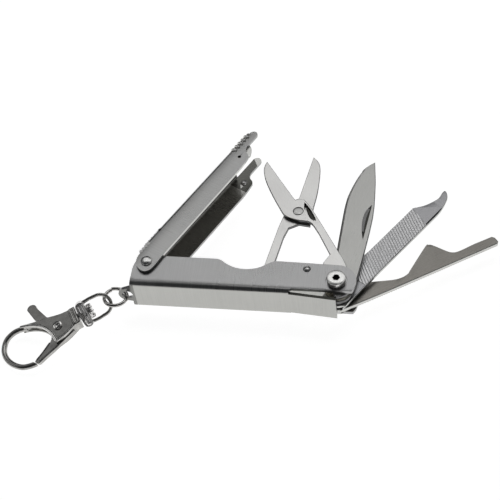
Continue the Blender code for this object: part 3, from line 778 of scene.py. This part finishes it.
# ---------------------------------------------------------------- pivot
def make_screw():
    """Flat head with a chamfer and a hexagonal socket."""
    low, high = [corner.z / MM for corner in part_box("pivot_screw")]
    steps, seat = 48, 13.65
    socket, socket_depth, drill_point = 1.15, 1.4, 0.35

    def hexagon(corner, height):
        """A hexagon, with a point on each spoke of the round rings."""
        made = []
        for k, (x, y) in enumerate(circle((0, 0), 1.0, steps=steps)):
            turn = math.radians(360.0 * k / steps % 60.0 - 30.0)
            reach = corner * math.cos(math.radians(30)) / math.cos(turn)
            made.append((x * reach, y * reach, height))
        return made

    head = [(0, low), (1.45, low), (1.45, seat), (2.9, seat), (2.9, high - 0.32), (2.87, high - 0.22),
            (2.72, high - 0.05), (2.6, high), (1.42, high)]
    rings = [level_ring(radius, height, steps) for radius, height in head]
    rings += [hexagon(socket + 0.12, high - 0.02), hexagon(socket, high - 0.14)]
    rings += [hexagon(socket, high - socket_depth)]
    rings += [level_ring(0, high - socket_depth - drill_point, steps)]
    bm = skin(rings, steps)
    # the socket is painted black: painted shade
    paint(bm, lambda centre, normal: 1 if centre.xy.length < socket and centre.z < high - 0.1 else None)
    show("pivot_head", bm, BODY, "body", ("screw", "painted_shade"), ["pivot_screw"], sharp=25)


def make_pivot():
    """The screw, its nut, and what lies between the layers on it."""
    make_screw()
    stack = [("pivot_base", "pivot_nut", "screw", "fastener_steel")]
    stack += [(piece, node, "brass", "brass") for piece, node in
              (("washer_a", "washer_wall"), ("washer_b", "washer_opener"), ("washer_c", "washer_file"),
               ("spacer", "spacer_scissors"))]
    for piece, node, kind, slot in stack:
        bm = soften(from_node(node, BODY), 0.07, index=0)
        show(piece, bm, BODY, "body", (kind,), [node])


# ---------------------------------------------------------------- fold-out pieces
def bore_loop():
    """The round hole that the pieces on the pivot share."""
    return [Vector(p) for p in circle((0, 0), BORE, steps=40)]


NICK_CREST = [(20.3, -3.35), (23.4, -2.3), (26.8, -1.55), (29.8, -1.35), (32.4, -1.75), (34.9, -2.95)]
NICK_DEPTH = 0.38


def knife_grind(point):
    """The width and drop of the ground edge, wide along the belly and narrow round the point."""
    if point.x < 9 or point.y < 0.2 * (53.0 - point.x) / 40 - 0.6:
        return None
    return (0.75, 0.5) if point.x < 48.5 else (0.25, 0.15)


def knife_faces(centre, normal):
    """3 on the nail nick's floor and 2 on its walls, painted dark as painted shade in the nick, and 0 all
    over the point.
    """
    within = 20 < centre.x < 35 and -3.5 < centre.y < -1.3 and centre.z < KNIFE_HIGH - 0.02
    if within and normal.z > 0.1:
        return 3 if normal.z > 0.99 else 2
    return 0 if centre.x > 50.5 else None


def make_knife():
    """The belly and the point are ground to an edge; the nail nick is milled into the upper face."""
    source = from_node("knife_blade", KNIFE)
    outline = rounded_loop(rims(source, KNIFE_HIGH)[0])
    source.free()
    bm = plate([outline, bore_loop()], KNIFE_LOW, KNIFE_HIGH, 0.2, knife_grind)
    cutter = []
    for height, bulge in ((KNIFE_HIGH - NICK_DEPTH, 0.5), (KNIFE_HIGH, 1.0), (KNIFE_HIGH + 0.6, 2.0)):
        crest = [(p.x, -3.3 + (p.y + 3.3) * bulge) for p in spline([Vector(q) for q in NICK_CREST])]
        back = [(34.9 - 14.6 * k / 10, -3.05 - 0.35 * k / 10) for k in range(1, 10)]
        cutter.append(lifted(crest + back, height))
    bm = cut(bm, loft(cutter))
    paint(bm, knife_faces)
    show("knife", bm, KNIFE, "knife", ("blade", "painted_dark_edge", "nick", "painted_shade"), ["knife_blade"])


TOOTH_DEPTH = 0.07
FIRST_CUT, FIRST_PITCH = 149.0, 0.90     # across the dominant cut, degrees, and its pitch
SECOND_CUT, SECOND_PITCH = 34.4, 0.80
DOUBLE_FROM = 13.6
FILE_SKIN = 0.16                         # the plate lies this far under the crests of the teeth


def side_light(centre, normal):
    """2 on the upright sides of a flat piece."""
    return 2 if abs(normal.z) < 0.3 else None


def tooth_depth(x, y):
    """0 on the crests and up to 1 in the grooves: crossing cuts, with only the first near the tang."""
    def groove(degrees, pitch, width):
        """1 along the lines of one cut, falling to 0 between them."""
        turn = math.radians(degrees)
        across = (x * math.cos(turn) + y * math.sin(turn)) / pitch
        away = abs(across % 1.0 - 0.5) * 2
        return max(0.0, 1 - away / width)

    deep = groove(FIRST_CUT, FIRST_PITCH, 0.46)
    if x > DOUBLE_FROM:
        deep = max(deep, 0.75 * groove(SECOND_CUT, SECOND_PITCH, 0.36))
    return deep


def edges_at(outline, x):
    """The lowest and highest y of a closed line at x."""
    ys = [a.y + (b.y - a.y) * (x - a.x) / (b.x - a.x) for a, b in zip(outline, outline[1:] + outline[:1])
          if min(a.x, b.x) <= x <= max(a.x, b.x) and abs(b.x - a.x) > 1e-6]
    return min(ys), max(ys)


def toothed_face(grid, outline, face, side):
    """One cut face of the file, whose rim dips into the plate."""
    columns, rows, margin = 360, 80, 0.06
    start, end, slant = 7.6, 39.4, 3.0
    sunk = FILE_SKIN + 0.05
    verts = []
    for i in range(columns + 1):
        row = []
        for j in range(rows + 1):
            x = start + (end - start) * i / columns + slant * (j / rows - 0.5) * i / columns
            bottom, top = edges_at(outline, x)
            bottom, top = bottom + margin, top - margin
            y = bottom + (top - bottom) * j / rows
            on_rim = i in (0, columns) or j in (0, rows)
            depth = sunk if on_rim else min(sunk, TOOTH_DEPTH * tooth_depth(x, y))
            row.append(grid.verts.new((x, y, face - side * depth)))
        verts.append(row)
    for i in range(columns):
        for j in range(rows):
            made = grid.faces.new((verts[i][j], verts[i + 1][j], verts[i + 1][j + 1], verts[i][j + 1]))
            away = abs(made.calc_center_median().z - face)
            # faces deep in the grooves take the darker groove colour: painted shade
            made.material_index = 1 if away > 0.6 * TOOTH_DEPTH else 0
    grid.faces.new([row[0] for row in verts] + verts[-1][1:] + [row[-1] for row in verts[::-1]][1:]
                   + verts[0][-2:0:-1])


def make_file():
    """A plate with a toothed face laid on each side."""
    source = from_node("nail_file", FILE)
    outline = rims(source, FILE_HIGH)[0]
    source.free()
    bm = plate([rounded_loop(outline), bore_loop()], FILE_LOW + FILE_SKIN, FILE_HIGH - FILE_SKIN, 0.22)
    paint(bm, side_light)
    show("file_plate", bm, FILE, "file", ("file", "file_edge", "edge"), ["nail_file"])
    grid = bmesh.new()
    toothed_face(grid, outline, FILE_HIGH, 1)
    toothed_face(grid, outline, FILE_LOW, -1)
    show("file_teeth", grid, FILE, "file", ("teeth", "groove"), even=False, sharp=60)


def make_opener():
    """The bottle opener, thicker and darker than the rest."""
    bm = blade("bottle_opener", OPENER, 0.30)
    paint(bm, side_light)
    show("opener", bm, OPENER, "opener", ("opener", "opener_edge", "edge"), ["bottle_opener"])


SLOT_LENS = [(34.6, -3.15), (32.6, -2.25), (30.0, -1.95), (27.7, -2.35), (26.2, -3.3), (26.1, -3.75),
             (28.6, -3.95), (31.3, -3.8), (33.5, -3.45), (34.6, -3.15)]
SLOT_DEPTH = 0.9
LEAF_TRIM, LEAF_TRIM_FROM = 0.35, 27.0   # the spring's tip, kept clear of the squeezed blade


def make_scissors():
    """Two flat blades, the upper one with a lens-shaped recess, their rivet and their spring."""
    bm = blade("scissor_blade_upper", SCISSORS, 0.17, holes=2)
    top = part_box("scissor_blade_upper")[1].z / MM
    lens = spline([Vector(q) for q in SLOT_LENS], 4)[:-1]
    bm = cut(bm, loft([lifted(lens, top - SLOT_DEPTH), lifted(lens, top + 1)]))

    def recess_faces(centre, normal):
        """2 inside the recess, painted black as painted shade."""
        within = 25.9 < centre.x < 35 and -4.05 < centre.y < -1.8 and centre.z < top - 0.2
        return 2 if within and normal.z > -0.3 else None

    paint(bm, recess_faces)
    show("scissor_top", bm, SCISSORS, "scissors", ("scissors", "painted_dark_edge", "painted_shade"),
         ["scissor_blade_upper"])
    bm = blade("scissor_blade_lower", LOWER, 0.17)
    show("scissor_under", bm, LOWER, "scissor_lower", ("scissors", "painted_dark_edge"),
         ["scissor_blade_lower"])
    low, high = [corner.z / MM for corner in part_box("scissor_rivet")]
    profile = [(0, low), (1.65, low), (1.75, low + 0.1), (1.75, high - 0.22), (1.62, high - 0.13),
               (1.35, high - 0.06), (0.9, high - 0.02), (0, high)]
    place = turned("scissors_squeeze", 0)
    show("scissor_pin", lathe(profile), place, "scissors", ("rivet",), ["scissor_rivet"])
    leaf = from_node("scissor_spring", SCISSORS)
    for v in leaf.verts:
        if v.co.x > LEAF_TRIM_FROM:
            v.co.x -= LEAF_TRIM
    bm = soften(leaf, 0.06, index=0)
    show("scissor_leaf", bm, SCISSORS, "scissors", ("spring",), ["scissor_spring"])


# ---------------------------------------------------------------- clasp
# the raised rims on the claw's faces and the gate's edges, as points in the clasp's plane
EYE_EDGE = [(21.2, -6.3), (20.0, -5.95), (18.0, -5.0), (15.9, -3.5), (14.3, -1.7), (13.35, 0.1), (12.65, 2.1),
            (12.4, 4.0), (12.25, 5.3)]
LOW_EDGE = [(12.1, 5.35), (11.4, 5.2), (8.8, 4.65), (5.7, 3.4), (4.9, 2.9)]
GATE_INNER = [(14.5, 3.9), (17.5, 5.85), (20.2, 7.35)]
GATE_OUTER = [(6.3, 4.1), (8.0, 4.75), (11.3, 5.95), (14.2, 6.95), (17.0, 7.8), (19.6, 8.65)]
GATE_PIVOT = (10.0, 0.3, 0)
RING_RADIUS, RING_WIRE, RING_TILT, RING_DIRECTION = 3.6, 0.6, 8.0, 212.0
RING_STEP, RING_STEP_RUN = 0.4, 7        # how far the second end stands out, and over how many points
ALONG_CLASP = Matrix.Rotation(math.radians(90), 4, "Y")


def make_ring():
    """The jump ring, its two ends meeting with a small step."""
    eye = joint_point("ring_swing") / MM
    turn = math.radians(RING_DIRECTION)
    centre = eye + Vector((math.cos(turn), math.sin(turn), 0)) * RING_RADIUS
    count = 72
    path = []
    for k in range(count + 1):
        angle = math.radians(124 + 358 * k / count)
        radius = RING_RADIUS + RING_STEP * max(0, k - count + RING_STEP_RUN) / RING_STEP_RUN
        x, y = centre.x + radius * math.cos(angle), centre.y + radius * math.sin(angle)
        path.append((x, y, eye.z - (y - eye.y) * math.tan(math.radians(RING_TILT))))
    bm = tube(path, RING_WIRE, 18)
    show("ring", bm, BODY, "ring", ("nickel",), ["jump_ring"], sharp=50)


def make_loop():
    """The cast swivel loop, whose block is rough and has the post's hole through it."""
    source = from_node("swivel_loop", LOOP, flat=False)
    lumps = [tube([(1.1, -3.3, 1.25 * side), (1.1, 3.3, 1.25 * side)], 0.75, 16) for side in (1, -1)]
    lumps += [tube([(x, y, 1.5 * side), (x, y, 1.75 * side)], 0.5, 12)
              for x, y in ((0.9, -2.6), (1.3, -1.2), (0.8, 0.3), (1.4, 1.6), (0.9, 3.0)) for side in (1, -1)]
    bore = lathe([(0, -4), (1.25, -4), (1.25, 6), (0, 6)], 32, ALONG_CLASP)
    bm = cut(cast([source] + lumps, 0.13, 7), bore)
    paint(bm, lambda centre, normal: 1 if centre.x > -0.45 else 0)
    show("loop_casting", bm, LOOP, "loop", ("cast", "knurl"), ["swivel_loop"], even=False, sharp=60)


def make_post():
    """The swivel post, with a ring of studs on its domed head."""
    profile = [(0, -1.9), (0.5, -1.92), (1.2, -1.85), (1.9, -1.62), (2.35, -1.25), (2.45, -0.9),
               (2.38, -0.62), (2.2, -0.5), (1.05, -0.5), (1.05, 5.2), (0, 5.2)]
    stud = [(0, -2.0), (0.28, -1.95), (0.46, -1.75), (0.5, -1.1), (0, -1.05)]
    parts = [lathe(profile, 40, ALONG_CLASP)]
    for y, z in circle((0, 0), 1.95, steps=9):
        parts.append(lathe(stud, 14, Matrix.Translation((0, y, z)) @ ALONG_CLASP))
    bm = cast(parts, 0.1, 3)
    show("post", bm, CLASP, "claw", ("knurl",), ["swivel_post"], even=False, sharp=180)


def make_claw():
    """The cast claw with its raised rims, the gate's rivet and the gate's spring."""
    source = from_node("claw_body", CLASP, flat=False)
    for v in source.verts:
        if v.co.x < 5.0 and abs(v.co.z) > 1.7:
            v.co.z *= 0.84
    parts = [source]
    for side in (1, -1):
        parts.append(tube(lifted(spline(EYE_EDGE), 1.62 * side), 0.40, 12))
        parts.append(tube(lifted(spline(LOW_EDGE), 1.62 * side), 0.36, 12))
        for x in (3.5, 4.7):
            parts.append(tube([(x, -2.9, 1.72 * side), (x, 2.9, 1.72 * side)], 0.42, 12))
    bm = cast(parts, 0.12, 2)
    # the tops of the rims are painted bright: a painted highlight
    paint(bm, lambda centre, normal: 1 if abs(centre.z) > 1.68 and centre.x > 5.4 else 0)
    show("claw", bm, CLASP, "claw", ("cast", "rim"), ["claw_body"], even=False, sharp=180)
    low, high = 1.65, 2.2
    profile = [(0, -high), (1.1, -high), (1.45, -high + 0.2), (1.45, -low), (0.8, -low), (0.8, low),
               (1.5, low), (1.5, high - 0.3), (1.4, high - 0.08), (1.15, high), (0.95, high - 0.06),
               (0.75, high - 0.45), (0.5, high - 0.6), (0, high - 0.65)]
    place = CLASP @ Matrix.Translation(Vector(GATE_PIVOT) * MM)
    show("gate_pin", lathe(profile, 32), place, "claw", ("rim",), ["gate_rivet"])
    bm = soften(from_node("gate_spring", CLASP), 0.05, index=0)
    show("gate_leaf", bm, CLASP, "claw", ("spring",), ["gate_spring"])


def make_gate():
    """The cast lever that closes the hook."""
    parts = [from_node("gate_lever", CLASP, flat=False)]
    for path in (GATE_INNER, GATE_OUTER):
        parts += [tube(lifted(spline(path), 0.45 * side), 0.3, 12) for side in (1, -1)]
    bm = cast(parts, 0.1, 3)
    show("gate", bm, CLASP, "gate", ("cast",), ["gate_lever"], even=False, sharp=180)


make_camera()
make_studio()
make_body()
make_cover_shell()
make_cover_details()
make_cover_grip()
make_cover_catch()
make_cover_pin()
make_pivot()
make_knife()
make_file()
make_opener()
make_scissors()
make_ring()
make_loop()
make_post()
make_claw()
make_gate()
